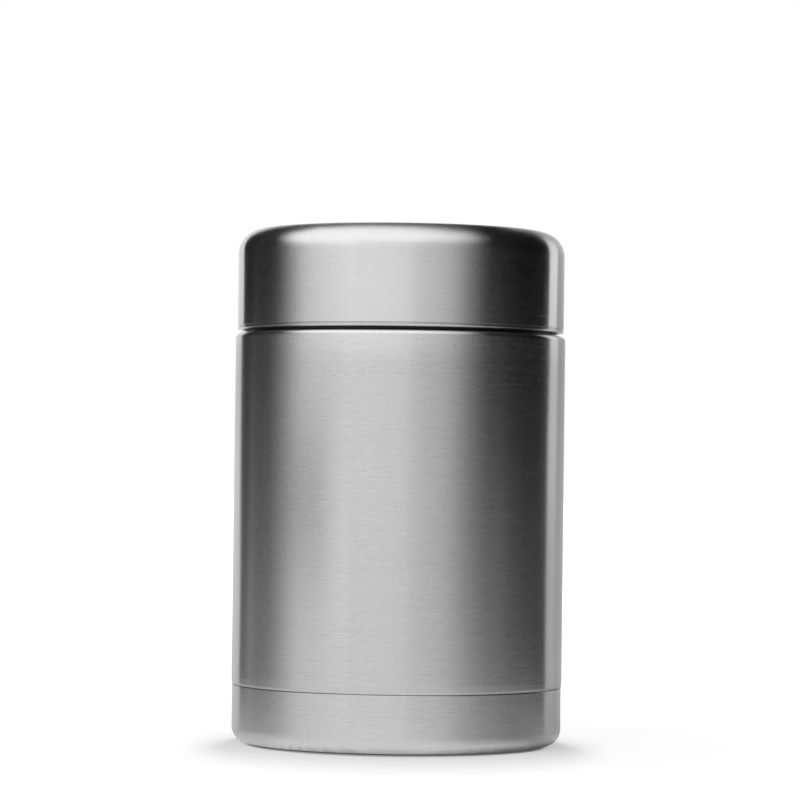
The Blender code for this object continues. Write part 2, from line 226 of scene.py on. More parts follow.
def compute(tree, operation, place, *inputs):
    return feed(tree, put(tree, "ShaderNodeMath", place, {"operation": operation}), inputs)


def computeVector(tree, operation, place, *inputs):
    return feed(tree, put(tree, "ShaderNodeVectorMath", place, {"operation": operation}), inputs)


def vectorOf(tree, place, *inputs):
    return feed(tree, put(tree, "ShaderNodeCombineXYZ", place), inputs)


def noiseOf(tree, place, source, detail, roughness, scale=1.0):
    values = {"Scale": scale, "Detail": detail, "Roughness": roughness}
    node = put(tree, "ShaderNodeTexNoise", place, values=values)
    join(tree, *source, node, "Vector")
    return node


def rampOf(tree, source, socket, low, high, place, fromLow=0.3, fromHigh=0.7, smooth=False):
    # A value between fromLow and fromHigh, where noise mostly lies, becomes one from low to high.
    kind = {"interpolation_type": "SMOOTHSTEP" if smooth else "LINEAR"}
    values = {"From Min": fromLow, "From Max": fromHigh, "To Min": low, "To Max": high}
    node = put(tree, "ShaderNodeMapRange", place, kind, values)
    join(tree, source, socket, node, "Value")
    return node


def mixOf(tree, mask, first, second, place):
    # Between two colours, each a (red, green, blue) value or a pair of a node and its output.
    node = put(tree, "ShaderNodeMix", place, {"data_type": "RGBA"})
    join(tree, *mask, node, 0)
    for slot, colour in ((6, first), (7, second)):  # the node's two colour inputs
        if isinstance(colour[0], bpy.types.Node):
            join(tree, *colour, node, slot)
        else:
            node.inputs[slot].default_value = (*colour, 1)
    return node


def newGroup(name, inputs, outputs):
    # Takes a vector, and numbers with these usual values, and gives numbers.
    group = bpy.data.node_groups.new(name, "ShaderNodeTree")
    sockets = group.interface
    sockets.new_socket(name="Vector", in_out="INPUT", socket_type="NodeSocketVector")
    for key, value in inputs.items():
        socket = sockets.new_socket(name=key, in_out="INPUT", socket_type="NodeSocketFloat")
        socket.default_value = value
    for key in outputs:
        sockets.new_socket(name=key, in_out="OUTPUT", socket_type="NodeSocketFloat")
    return group, put(group, "NodeGroupInput", (-6, 0)), put(group, "NodeGroupOutput", (6, 0))


def useGroup(tree, group, place, coordinates, values):
    node = put(tree, "ShaderNodeGroup", place, {"node_tree": group}, values)
    join(tree, coordinates, "Object", node, "Vector")
    return node


def finishTree(tree, shader, place, kind="ShaderNodeOutputMaterial"):
    join(tree, shader, 0, put(tree, kind, place), "Surface")


# Grain of a turned and brushed sheet. The distance along the outline is taken as height plus or
# minus radius, so the lines run round the axis on the wall, over the corner and on the flat.

grainShape = {
    # how the fine grain is stretched along x, y and the outline
    "lines": (0.1, 0.1, 1.0),
    "breaks": (1.7, 1.7, 0.7),
    "strokes": (-1.6, 2.2),  # strength of a stroke, where below 0 swaps light and dark
    "row": 0.0003,  # height in metres of the rows that the scratches lie in
    "rowScale": 40000.0,
    "scratchScale": 0.52,
    "scratchFrom": 0.14,  # a scratch begins where its noise is this far from the middle
    "scratchFull": 0.24,
    "bandScale": (9.0, 9.0, 180.0),
    # detail and roughness of each noise
    "lineNoise": (1.5, 0.6),
    "breakNoise": (1.0, 0.5),
    "scratchNoise": (1.0, 0.4),
    "bandNoise": (3.0, 0.55),
}


def makeTurnedGrain():
    shape = grainShape
    usual = {"Outline Side": -1.0, "Along": 330.0, "Across": 3300.0}
    group, given, made = newGroup("turnedGrain", usual, ["Lines", "Bands", "Scratches"])
    parts = put(group, "ShaderNodeSeparateXYZ", (-5, 0))
    join(group, given, "Vector", parts, 0)
    x, y, along = (parts, "X"), (parts, "Y"), (given, "Along")
    flat = vectorOf(group, (-4, 1), x, y)
    radius = computeVector(group, "LENGTH", (-3, 1), (flat, 0))
    side, z = (given, "Outline Side"), (parts, "Z")
    outline = compute(group, "MULTIPLY_ADD", (-2, 0), (radius, "Value"), side, z)
    where = vectorOf(group, (-1, 0), x, y, (outline, 0))
    stretch = vectorOf(group, (-1, 1), along, along, (given, "Across"))
    fine = computeVector(group, "MULTIPLY", (0, 0), (where, 0), (stretch, 0))
    # long straight lines, broken into strokes by a second noise that also swaps light and dark
    drawn = computeVector(group, "MULTIPLY", (1, 0), (fine, 0), shape["lines"])
    lines = noiseOf(group, (2, 0), (drawn, 0), *shape["lineNoise"])
    short = computeVector(group, "MULTIPLY", (1, -1), (fine, 0), shape["breaks"])
    breaks = noiseOf(group, (2, -1), (short, 0), *shape["breakNoise"])
    depth = rampOf(group, breaks, "Fac", *shape["strokes"], (3, -1))
    centred = compute(group, "SUBTRACT", (3, 0), (lines, "Fac"), 0.5)
    strokes = compute(group, "MULTIPLY_ADD", (4, 0), (centred, 0), (depth, 0), 0.5)
    join(group, strokes, 0, made, "Lines")
    # rarer straight scratches: the outline is cut into narrow rows with a noise of their own, kept
    # only where it is high or low, and the surface is raised there, or cut in
    row = compute(group, "SNAP", (0, -2), (outline, 0), shape["row"])
    inRow = vectorOf(group, (0, -1), x, y, (row, 0))
    rowStretch = vectorOf(group, (0, 1), along, along, shape["rowScale"])
    longer = computeVector(group, "MULTIPLY", (1, 1), (inRow, 0), (rowStretch, 0))
    rare = noiseOf(group, (2, 1), (longer, 0), *shape["scratchNoise"], shape["scratchScale"])
    start, full = shape["scratchFrom"], shape["scratchFull"]
    raised = rampOf(group, rare, "Fac", 0, 1, (3, 1), 0.5 + start, 0.5 + full)
    cut = rampOf(group, rare, "Fac", 0, 1, (3, 1.5), 0.5 - start, 0.5 - full)
    scratches = compute(group, "SUBTRACT", (4, 1), (raised, 0), (cut, 0))
    join(group, scratches, 0, made, "Scratches")
    # broad bands left by the belt
    broad = computeVector(group, "MULTIPLY", (1, 2), (where, 0), shape["bandScale"])
    bands = noiseOf(group, (2, 2), (broad, 0), *shape["bandNoise"])
    join(group, bands, "Fac", made, "Bands")
    return group


# Small marks: a dot in a few of the cells of a cell pattern.

def makeMarks():
    usual = {"Scale": 260.0, "Size": 0.07, "Share": 0.12}
    group, given, made = newGroup("smallMarks", usual, ["Marks"])
    cells = put(group, "ShaderNodeTexVoronoi", (-3, 0), {"feature": "F1"})
    join(group, given, "Vector", cells, "Vector")
    join(group, given, "Scale", cells, "Scale")
    dot = compute(group, "LESS_THAN", (-1, 0), (cells, "Distance"), (given, "Size"))
    pick = put(group, "ShaderNodeSeparateColor", (-2, 1))
    join(group, cells, "Color", pick, 0)
    chosen = compute(group, "LESS_THAN", (-1, 1), (pick, 0), (given, "Share"))
    both = compute(group, "MULTIPLY", (1, 0), (dot, 0), (chosen, 0))
    join(group, both, 0, made, "Marks")
    return group


# Uneven moulded or cast surface: broad clouds and a fine grain.

mottleShape = {"cloudNoise": (3.0, 0.55), "grainNoise": (2.0, 0.6)}  # detail and roughness


def makeMottle():
    usual = {"Cloud Scale": 60.0, "Grain Scale": 2200.0}
    group, given, made = newGroup("mottle", usual, ["Clouds", "Grain"])
    clouds = noiseOf(group, (0, 0), (given, "Vector"), *mottleShape["cloudNoise"])
    grain = noiseOf(group, (0, 1), (given, "Vector"), *mottleShape["grainNoise"])
    for node, scale, output in ((clouds, "Cloud Scale", "Clouds"), (grain, "Grain Scale", "Grain")):
        join(group, given, scale, node, "Scale")
        join(group, node, "Fac", made, output)
    return group


turnedGrain = makeTurnedGrain()
smallMarks = makeMarks()
mottle = makeMottle()


def marksOf(tree, coordinates, look):
    values = {"Scale": look["markScale"], "Share": look["markShare"]}
    return useGroup(tree, smallMarks, (-5, 2), coordinates, values)


def bumpOf(tree, height, look):
    values = {"Strength": 1.0, "Distance": look["bump"]}
    node = put(tree, "ShaderNodeBump", (-1, 3), values=values)
    join(tree, height, 0, node, "Height")
    return node


def roughnessOf(tree, source, socket, look):
    middle, swing = look["roughness"], look["roughSwing"]
    return rampOf(tree, source, socket, middle - swing, middle + swing, (-3, 1))


def grainedSteel(name, look):
    # Turned steel: the lines move the colour, the roughness and the height a little. A quarter turn
    # of the stretched highlight lays it up and down, across the lines.
    material = newMaterial(name)
    tree = material.node_tree
    coordinates = put(tree, "ShaderNodeTexCoord", (-6, 0))
    values = {"Outline Side": look["outlineSide"], "Along": look["along"], "Across": look["across"]}
    grain = useGroup(tree, turnedGrain, (-5, 0), coordinates, values)
    marks = marksOf(tree, coordinates, look)
    lines, scratches = (grain, "Lines"), (grain, "Scratches")
    height = compute(tree, "MULTIPLY_ADD", (-5, 3), scratches, look["scratchHeight"], lines)
    lineTone = rampOf(tree, height, 0, -look["lineTone"], look["lineTone"], (-4, 0))
    bandTone = rampOf(tree, grain, "Bands", 1 - look["bandTone"], 1 + look["bandTone"], (-4, 1))
    tone = compute(tree, "ADD", (-3, 0), (lineTone, 0), (bandTone, 0))
    marked = compute(tree, "MULTIPLY_ADD", (-3, 2), (marks, "Marks"), -look["markTone"], (tone, 0))
    parts = put(tree, "ShaderNodeSeparateXYZ", (-5, 4))
    join(tree, coordinates, "Object", parts, 0)
    # painted highlight: the wall is lighter towards its top, by height
    shade = rampOf(tree, parts, "Z", 1, 1 + look["paintedHighlightRise"], (-4, 4), *look["paintedHighlightHeights"], True)
    withPaintedHighlight = compute(tree, "MULTIPLY", (-3, 4), (marked, 0), (shade, 0))
    # painted shade: the colour is darker in a narrow band round the crease's height, where the
    # rolled line sits
    fromCrease = compute(tree, "SUBTRACT", (-4, 5), (parts, "Z"), look["creaseAt"])
    offCrease = compute(tree, "ABSOLUTE", (-3, 5), (fromCrease, 0))
    crease = rampOf(tree, offCrease, 0, look["creaseShadeTone"], 1, (-3, 6), *look["creaseEdge"])
    withCreaseShade = compute(tree, "MULTIPLY", (-2, 4), (withPaintedHighlight, 0), (crease, 0))
    colour = computeVector(tree, "SCALE", (-2, 0), look["colour"], None, None, (withCreaseShade, 0))
    rough = roughnessOf(tree, grain, "Lines", look)
    # the strokes also scatter a little light, which shows where the reflection is dark
    metal = rampOf(tree, height, 0, 1, 1 - look["dullShare"], (-3, 2.5), *look["dullStrokes"])
    bump = bumpOf(tree, height, look)
    values = {"Anisotropic": look["anisotropic"], "Anisotropic Rotation": 0.25}
    shader = put(tree, "ShaderNodeBsdfPrincipled", (0, 0), values=values)
    around = put(tree, "ShaderNodeTangent", (-1, 4), {"direction_type": "RADIAL", "axis": "Z"})
    join(tree, around, 0, shader, "Tangent")
    join(tree, colour, 0, shader, "Base Color")
    join(tree, rough, 0, shader, "Roughness")
    join(tree, metal, 0, shader, "Metallic")
    join(tree, bump, 0, shader, "Normal")
    finishTree(tree, shader, (2, 0))
    return material


def mottledMaterial(name, look):
    # Plastic, silicone, foam, foil and cast metal: clouds move the colour and the roughness, and
    # clouds and grain the height.
    material = newMaterial(name)
    tree = material.node_tree
    coordinates = put(tree, "ShaderNodeTexCoord", (-6, 0))
    values = {"Cloud Scale": look["cloudScale"], "Grain Scale": look["grainScale"]}
    uneven = useGroup(tree, mottle, (-5, 0), coordinates, values)
    marks = marksOf(tree, coordinates, look)
    cloud = rampOf(tree, uneven, "Clouds", 0, 1, (-4, 0))
    shade = mixOf(tree, (cloud, 0), look["dark"], look["light"], (-3, 0))
    marked = mixOf(tree, (marks, "Marks"), (shade, 2), look["mark"], (-2, 0))
    rough = roughnessOf(tree, uneven, "Clouds", look)
    clouds, fine = (uneven, "Clouds"), (uneven, "Grain")
    height = compute(tree, "MULTIPLY_ADD", (-3, 3), clouds, look["cloudHeight"], fine)
    bump = bumpOf(tree, height, look)
    shader = put(tree, "ShaderNodeBsdfPrincipled", (0, 0), values={"Metallic": look["metallic"]})
    join(tree, marked, 2, shader, "Base Color")
    join(tree, rough, 0, shader, "Roughness")
    join(tree, bump, 0, shader, "Normal")
    finishTree(tree, shader, (2, 0))
    return material


# Finishes

brushedLook = {
    "colour": (0.62, 0.62, 0.62),
    "lineTone": 0.044,
    "bandTone": 0.012,
    "roughness": 0.245,
    "roughSwing": 0.015,
    "dullShare": 0.028,
    "bump": 0.000008,
    "scratchHeight": 0.42,
    "anisotropic": 0.92,
    "outlineSide": -1.0,
    "along": 380.0,
    "across": 2800.0,
    "markScale": 260.0,
    "markShare": 0.05,
    "markTone": 0.25,
    "dullStrokes": (0.46, 0.76),  # heights of a stroke where dullShare begins and where it is full
    "paintedHighlightHeights": (0.112, 0.1235),  # painted highlight: the steel's tone rises between these heights, in metres, by the share below, so the top of the wall is lighter
    "paintedHighlightRise": 0.17,
    "creaseAt": -1.0,  # height of a crease with painted shade in it, or below the jar for none
    # how dark the painted shade in the crease is
    "creaseShadeTone": 0.82,
    "creaseEdge": (0.00018, 0.00034),  # where it begins and ends to fade, from its middle
}
lidLook = {
    **brushedLook,
    # lighter than the body's steel, the same metal: painted light for the lid's brighter reflection
    "colour": (0.7, 0.7, 0.7),
    "lineTone": 0.033,
    "roughness": 0.22,
    "anisotropic": 1.0,
    "along": 500.0,
    "paintedHighlightRise": 0.0,
    # painted shade in the fine rolled line of the lid
    "creaseAt": 0.1255,
}
drawnLook = {
    **lidLook,
    "creaseAt": -1.0,
    "colour": (0.66, 0.66, 0.65),
    "roughness": 0.3,
    "anisotropic": 0.75,
    "along": 120.0,
    "across": 2400.0,
    "bandTone": 0.02,
}
plainSteelLook = {
    **lidLook,
    "creaseAt": -1.0,
    "colour": (0.5, 0.5, 0.5),
    "roughness": 0.42,
    "anisotropic": 0.3,
    "across": 1500.0,
}
plasticLook = {
    "dark": (0.014, 0.014, 0.015),
    "light": (0.022, 0.022, 0.023),
    "mark": (0.05, 0.05, 0.05),
    "roughness": 0.42,
    "roughSwing": 0.05,
    "metallic": 0.0,
    "cloudScale": 70.0,
    "grainScale": 2600.0,
    "cloudHeight": 0.5,
    "bump": 0.00001,
    "markScale": 300.0,
    "markShare": 0.03,
}
siliconeLook = {
    **plasticLook,
    "dark": (0.66, 0.66, 0.64),
    "light": (0.74, 0.74, 0.72),
    "mark": (0.5, 0.5, 0.48),
    "roughness": 0.52,
    "roughSwing": 0.06,
    "cloudScale": 120.0,
}
foamLook = {
    **plasticLook,
    "dark": (0.78, 0.78, 0.75),
    "light": (0.88, 0.88, 0.86),
    "mark": (0.6, 0.6, 0.57),
    "roughness": 0.9,
    "cloudScale": 200.0,
    "grainScale": 700.0,
    "bump": 0.0002,
    "markShare": 0.3,
}
foilLook = {
    **plasticLook,
    "dark": (0.76, 0.43, 0.3),
    "light": (0.84, 0.51, 0.37),
    "mark": (0.6, 0.32, 0.22),
    "roughness": 0.34,
    "metallic": 1.0,
    "cloudScale": 90.0,
    "grainScale": 260.0,
    "cloudHeight": 2.0,
    "bump": 0.0004,
}
solderLook = {
    **foilLook,
    "dark": (0.62, 0.62, 0.6),
    "light": (0.74, 0.74, 0.72),
    "mark": (0.4, 0.4, 0.38),
    "cloudScale": 600.0,
    "grainScale": 3000.0,
    "bump": 0.00005,
}
getterLook = {
    **solderLook,
    "dark": (0.2, 0.2, 0.215),
    "light": (0.3, 0.3, 0.32),
    "mark": (0.12, 0.12, 0.13),
    "roughness": 0.62,
}

brushedSteel = grainedSteel("brushedSteel", brushedLook)
brushedSteelFoot = grainedSteel("brushedSteelFoot", {**brushedLook, "outlineSide": 1.0})
brushedSteelLid = grainedSteel("brushedSteelLid", lidLook)
drawnSteel = grainedSteel("drawnSteel", {**drawnLook, "outlineSide": 1.0})
plainSteel = grainedSteel("plainSteel", plainSteelLook)
blackPlastic = mottledMaterial("blackPlastic", plasticLook)
paleSilicone = mottledMaterial("paleSilicone", siliconeLook)
whiteFoam = mottledMaterial("whiteFoam", foamLook)
copperFoil = mottledMaterial("copperFoil", foilLook)
solderTin = mottledMaterial("solderTin", solderLook)
getterMetal = mottledMaterial("getterMetal", getterLook)
print("finishes made")


# Outer shell with the threaded neck

shellShape = {
    "radius": 50.0,
    "wall": 0.5,
    "shoulder": 123.55,
    "shoulderFillet": 1.4,
    "neckRadius": 42.9,
    "neckTop": 139.6,
    "rootFillet": 1.0,
    "sleeveRadius": 49.0,
    "sleeveBottom": 7.0,
    "seam": 17.7,
    "tuckRadius": 49.85,  # the wall is drawn in a little below tuckTop
    "tuckTop": 20.0,
    "tuckLip": 0.02,  # up from the seam to the lower edge
    "tuckEdge": (0.1, 0.7),  # out and up from the seam, where the wall turns
    "tuckRounding": 4.0,
    "insideUp": (0.5, 0.2),  # how much higher the inner line runs at the edge, and elsewhere
    "edge": 0.1,  # rounding of a cut edge
}


def makeOuterShell():
    s = shellShape
    wall, edge, rounding = s["wall"], s["edge"], s["tuckRounding"]
    (out, up), (edgeUp, insideUp) = s["tuckEdge"], s["insideUp"]
    corners = [
        (s["sleeveRadius"], s["sleeveBottom"], edge),
        (s["sleeveRadius"], s["seam"], edge),
        (s["tuckRadius"], s["seam"] + s["tuckLip"], edge),
        (s["tuckRadius"] + out, s["seam"] + up, rounding / 2),
        (s["radius"], s["tuckTop"], rounding),
        (s["radius"], s["shoulder"], s["shoulderFillet"]),
        (s["neckRadius"], s["shoulder"], s["rootFillet"]),
        (s["neckRadius"], s["neckTop"], edge),
        (s["neckRadius"] - wall, s["neckTop"], edge),
        (s["neckRadius"] - wall, s["shoulder"] - wall, s["rootFillet"] + wall),
        (s["radius"] - wall, s["shoulder"] - wall, s["shoulderFillet"] - wall),
        (s["radius"] - wall, s["tuckTop"] + insideUp, rounding),
        (s["tuckRadius"] - wall, s["seam"] + edgeUp, edge),
        (s["sleeveRadius"] - wall, s["seam"] + insideUp, edge),
        (s["sleeveRadius"] - wall, s["sleeveBottom"], edge),
    ]
    line = roundedLine(corners, True)
    low, high = threadShape["neckZone"]
    line = dividedLine(line, s["neckRadius"], low, high, threadShape["spacing"])
    piece = turnedSurface("outerShell", line, True, neckOffset)
    finishPiece(piece, "vessel", "outer_shell", brushedSteel)


makeOuterShell()


# Inner liner

linerShape = {
    "radius": 43.9,
    "wall": 0.45,
    "floor": 16.5,
    "fillet": 12.0,
    "mouthRadius": 40.9,
    "neckIn": (117.2, 120.8),
    "neckRounding": 4.5,
    "rimTop": 140.35,
    "rimOuter": 42.9,
    "lip": 1.05,
}


def makeInnerLiner():
    s = linerShape
    wall, (low, high) = s["wall"], s["neckIn"]
    corners = [
        (0, s["floor"] - wall, 0),
        (s["radius"] + wall, s["floor"] - wall, s["fillet"] + wall),
        (s["radius"] + wall, low, s["neckRounding"]),
        (s["mouthRadius"] + wall, high, s["neckRounding"]),
        (s["mouthRadius"] + wall, s["rimTop"] - wall, s["lip"] - wall),
        (s["rimOuter"], s["rimTop"] - wall, 0.08),
        (s["rimOuter"], s["rimTop"], 0.2),
        (s["mouthRadius"], s["rimTop"], s["lip"]),
        (s["mouthRadius"], high, s["neckRounding"]),
        (s["radius"], low, s["neckRounding"]),
        (s["radius"], s["floor"], s["fillet"]),
        (0, s["floor"], 0),
    ]
    piece = turnedSurface("innerLiner", roundedLine(corners, False), False)
    finishPiece(piece, "vessel", "inner_liner", drawnSteel)


makeInnerLiner()


# Foot cup

cupShape = {
    "radius": 49.8,
    "wall": 0.5,
    "top": 17.5,
    "fillet": 4.8,
    "footInner": 37.0,
    "recessRadius": 34.0,
    "recessDepth": 1.2,
}


def makeBaseCup():
    s = cupShape
    wall = s["wall"]
    corners = [
        (0, s["recessDepth"], 0),
        (s["recessRadius"], s["recessDepth"], 1.5),
        (s["footInner"], 0, 1.0),
        (s["radius"], 0, s["fillet"]),
        (s["radius"], s["top"], 0.15),
        (s["radius"] - wall, s["top"], 0.1),
        (s["radius"] - wall, wall, s["fillet"] - wall),
        (s["footInner"] + 0.1, wall, 1.5),
        (s["recessRadius"] + 0.1, s["recessDepth"] + wall, 1.0),
        (0, s["recessDepth"] + wall, 0),
    ]
    piece = turnedSurface("baseCup", roundedLine(corners, False), False)
    finishPiece(piece, "vessel", "base_cup", brushedSteelFoot)


makeBaseCup()


# Steel cap of the lid, with a fine line where its lower edge is rolled in

capShape = {
    "radius": 49.5,
    "wall": 0.5,
    "bottom": 124.5,
    "top": 155.0,
    "fillet": 7.3,
    "hem": 0.68,
    "hemInner": 47.9,
    "rollLine": 125.5,  # height of the fine line
    "rollLineWidth": 0.6,
    "rollLineFlat": 0.24,  # width of its flat bottom
    "rollLineDepth": 0.22,
}


def makeLidCap():
    s = capShape
    wall, half, flat = s["wall"], s["rollLineWidth"] / 2, s["rollLineFlat"] / 2
    corners = [
        (0, s["top"] - wall, 0),
        (s["radius"] - wall, s["top"] - wall, s["fillet"] - wall),
        (s["radius"] - wall, s["bottom"] + wall, s["hem"] - wall),
        (s["hemInner"], s["bottom"] + wall, 0.15),
        (s["hemInner"], s["bottom"], 0.15),
        (s["radius"], s["bottom"], s["hem"]),
        (s["radius"], s["rollLine"] - half, 0.03),
        (s["radius"] - s["rollLineDepth"], s["rollLine"] - flat, 0.02),
        (s["radius"] - s["rollLineDepth"], s["rollLine"] + flat, 0.02),
        (s["radius"], s["rollLine"] + half, 0.03),
        (s["radius"], s["top"], s["fillet"]),
        (0, s["top"], 0),
    ]
    piece = turnedSurface("lidCap", roundedLine(corners, False), False)
    finishPiece(piece, "lid", "lid_cap", brushedSteelLid)


makeLidCap()


# Plastic inner part of the lid

lidLinerShape = {
    "skirtInner": 44.35,
    "skirtOuter": 45.8,
    "skirtBottom": 123.75,
    "flangeRadius": 48.6,
    "flange": (125.4, 126.6),
    "plugRadius": 39.6,
    "plugWall": 1.2,
    "plugBottom": 134.0,
    "groove": (40.2, 43.8),
    "grooveRoof": 143.2,
    "rimTop": 140.35,
    "plugStep": 0.7,  # the plug's side ends this far below the rim
    "skirtStep": (0.2, 0.4),  # and the skirt widens from below to above it
    "leadIn": (0.3, 0.4),  # out and up, where the thread opens
    "ventHole": 2.3,
}


def makeLidLiner():
    s = lidLinerShape
    wall = s["plugWall"]
    (inner, outer), (out, up), (below, above) = s["groove"], s["leadIn"], s["skirtStep"]
    floor, top = s["plugBottom"] + wall, s["grooveRoof"] + wall
    corners = [
        (s["ventHole"], s["plugBottom"], 0.15),
        (s["plugRadius"], s["plugBottom"], 1.2),
        (s["plugRadius"], s["rimTop"] - s["plugStep"], 0.2),
        (inner, s["rimTop"], 0.1),
        (inner, s["grooveRoof"], 0.3),
        (outer, s["grooveRoof"], 0.3),
        (outer, s["rimTop"] + above, 0.15),
        (s["skirtInner"], s["rimTop"] - below, 0.2),
        (s["skirtInner"], s["skirtBottom"] + up, 0.2),
        (s["skirtInner"] + out, s["skirtBottom"], 0.15),
        (s["skirtOuter"], s["skirtBottom"], 0.3),
        (s["skirtOuter"], s["flange"][0], 0.15),
        (s["flangeRadius"], s["flange"][0], 0.2),
        (s["flangeRadius"], s["flange"][1], 0.2),
        (s["skirtOuter"], s["flange"][1], 0.3),
        (s["skirtOuter"], top, 1.0),
        (s["plugRadius"] - wall, top, 0.4),
        (s["plugRadius"] - wall, floor, 0.6),
        (s["ventHole"], floor, 0.15),
    ]
    line = roundedLine(corners, True)
    low, high = threadShape["lidZone"]
    line = dividedLine(line, s["skirtInner"], low, high, threadShape["spacing"])
    piece = turnedSurface("lidLiner", line, True, lidOffset)
    finishPiece(piece, "lid", "lid_liner", blackPlastic)


makeLidLiner()


# Soft pieces of the lid

sealShape = {"radii": (40.5, 43.5), "heights": (140.65, 142.9), "rounding": 0.5}
ventShape = {
    "seat": 133.7,
    "discRadius": 6.0,
    "discThickness": 1.0,
    "discEdge": 0.35,  # thickness at the rim
    "flatRadius": 2.7,  # of its level underside
    "flatRounding": 6.0,
    "topRadius": 5.76,
    "stemRadius": 1.6,
    "barbRadius": 2.9,
    "barb": 136.7,
    "barbEdge": 0.5,
    "tipRadius": 1.12,
    "tip": (2.7, 2.9),  # above the barb, at this radius and in the middle
}


def makeSealRing():
    (inner, outer), (bottom, top) = sealShape["radii"], sealShape["heights"]
    rounding = sealShape["rounding"]
    corners = [(inner, bottom), (outer, bottom), (outer, top), (inner, top)]
    line = roundedLine([(*corner, rounding) for corner in corners], True)
    piece = turnedSurface("sealRing", line, True)
    finishPiece(piece, "seal", "seal_ring", paleSilicone)


def makeVentValve():
    s = ventShape
    low = s["seat"] - s["discThickness"]
    corners = [
        (0, low, 0),
        (s["flatRadius"], low, s["flatRounding"]),
        (s["discRadius"], s["seat"] - s["discEdge"], 0.15),
        (s["topRadius"], s["seat"], 0.1),
        (s["stemRadius"], s["seat"], 0.25),
        (s["stemRadius"], s["barb"], 0.2),
        (s["barbRadius"], s["barb"], 0.15),
        (s["barbRadius"], s["barb"] + s["barbEdge"], 0.25),
        (s["tipRadius"], s["barb"] + s["tip"][0], 0.5),
        (0, s["barb"] + s["tip"][1], 0),
    ]
    piece = turnedSurface("ventValve", roundedLine(corners, False), False)
    finishPiece(piece, "vent", "vent_valve", paleSilicone)


makeSealRing()
makeVentValve()


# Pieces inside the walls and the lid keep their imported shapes

insideFinish = {
    "vacuum_base": plainSteel,
    "vacuum_seal": solderTin,
    "getter": getterMetal,
    "getter_clip": plainSteel,
    "foil_wrap": copperFoil,
    "foil_disc": copperFoil,
    "lid_foam": whiteFoam,
}
for nodeName, material in insideFinish.items():
    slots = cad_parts[nodeName].material_slots
    if len(slots) == 0:
        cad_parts[nodeName].data.materials.append(material)
    for slot in slots:
        slot.material = material
print("inside pieces finished:", ", ".join(insideFinish))


# Floor, background and light

studio = {
    "softLight": 0.45,  # what the background gives to matt surfaces
    "floorReach": 8.0,
    "floorColour": 0.6,
    "floorGlow": 0.41,
    "glowRise": (0.1, 0.9),  # distances from the jar between which the glow grows to 1
    "footShadowShare": 0.12,  # share of the glow that is left in the painted shadow under the foot
    "footShadowEdge": (0.0435, 0.0462),  # distances where the painted shadow begins and ends to fade
    "footShadowAhead": 0.007,  # their centre lies this far to the viewer's side
}
lamps = {
    "keyLamp": {"place": (-1.0, -1.2, 0.9), "aim": (0, 0, 0.07), "size": (0.9, 0.9), "watts": 3.0},
    "topLamp": {"place": (0, 0.15, 1.0), "aim": (0, 0.15, 0), "size": (0.075, 0.36), "watts": 5.6},
}


def seenDirectly(tree, place):
    # 1 for what the camera, a reflection or a see-through surface shows, and 0 for matt light.
    x, y = place
    path = put(tree, "ShaderNodeLightPath", place)
    first = compute(tree, "MAXIMUM", (x + 1, y), (path, "Is Camera Ray"), (path, "Is Glossy Ray"))
    return compute(tree, "MAXIMUM", (x + 2, y), (first, 0), (path, "Is Transmission Ray"))


def makeBackground():
    world = bpy.data.worlds.new("whiteStudio")
    world.use_nodes = True
    # without this, the light behind the cards would reach reflections
    world.cycles.sampling_method = "NONE"
    bpy.context.scene.world = world
    tree = world.node_tree
    tree.nodes.clear()
    direct = seenDirectly(tree, (-4, 0))
    strength = rampOf(tree, direct, 0, studio["softLight"], 1, (-1, 0), 0, 1)
    light = put(tree, "ShaderNodeBackground", (0, 0), values={"Color": (1, 1, 1, 1)})
    join(tree, strength, 0, light, "Strength")
    finishTree(tree, light, (1, 0), "ShaderNodeOutputWorld")


def makeFloor():
    s = studio
    reach, tone = s["floorReach"], s["floorColour"]
    mesh = bpy.data.meshes.new("floor")
    corners = [(-reach, -reach, 0), (reach, -reach, 0), (reach, reach, 0), (-reach, reach, 0)]
    mesh.from_pydata(corners, [], [(0, 1, 2, 3)])
    floor = newObject("floor", mesh)
    material = newMaterial("paleFloor")
    tree = material.node_tree
    matt = put(tree, "ShaderNodeBsdfDiffuse", (0, 0), values={"Color": (tone, tone, tone, 1)})
    glow = put(tree, "ShaderNodeEmission", (0, 1), values={"Color": (1, 1, 1, 1)})
    # the glow rises away from the jar, where the lamps no longer reach
    coordinates = put(tree, "ShaderNodeTexCoord", (-4, 3))
    place = (coordinates, "Object")
    distance = computeVector(tree, "LENGTH", (-3, 3), place)
    far = rampOf(tree, distance, "Value", s["floorGlow"], 1, (-2, 3), *s["glowRise"])
    # and a painted shadow stops it under the rounded foot, most on the viewer's side
    shift = (0, s["footShadowAhead"], 0)
    moved = computeVector(tree, "MULTIPLY_ADD", (-4, 4), place, (1, 1, 0), shift)
    fromFoot = computeVector(tree, "LENGTH", (-3, 4), (moved, 0))
    under = rampOf(tree, fromFoot, "Value", s["footShadowShare"], 1, (-2, 4), *s["footShadowEdge"], True)
    lit = compute(tree, "MULTIPLY", (-1, 3), (far, 0), (under, 0))
    direct = seenDirectly(tree, (-4, 1))
    strength = compute(tree, "MULTIPLY", (-1, 1), (direct, 0), (lit, 0))
    join(tree, strength, 0, glow, "Strength")
    both = put(tree, "ShaderNodeAddShader", (1, 0))
    join(tree, matt, 0, both, 0)
    join(tree, glow, 0, both, 1)
    # seen from below the floor isn't there, so that the underside of the jar shows
    side = put(tree, "ShaderNodeNewGeometry", (0, 2))
    clear = put(tree, "ShaderNodeBsdfTransparent", (1, 1))
    shown = put(tree, "ShaderNodeMixShader", (2, 0))
    join(tree, side, "Backfacing", shown, 0)
    join(tree, both, 0, shown, 1)
    join(tree, clear, 0, shown, 2)
    finishTree(tree, shown, (3, 0))
    mesh.materials.append(material)


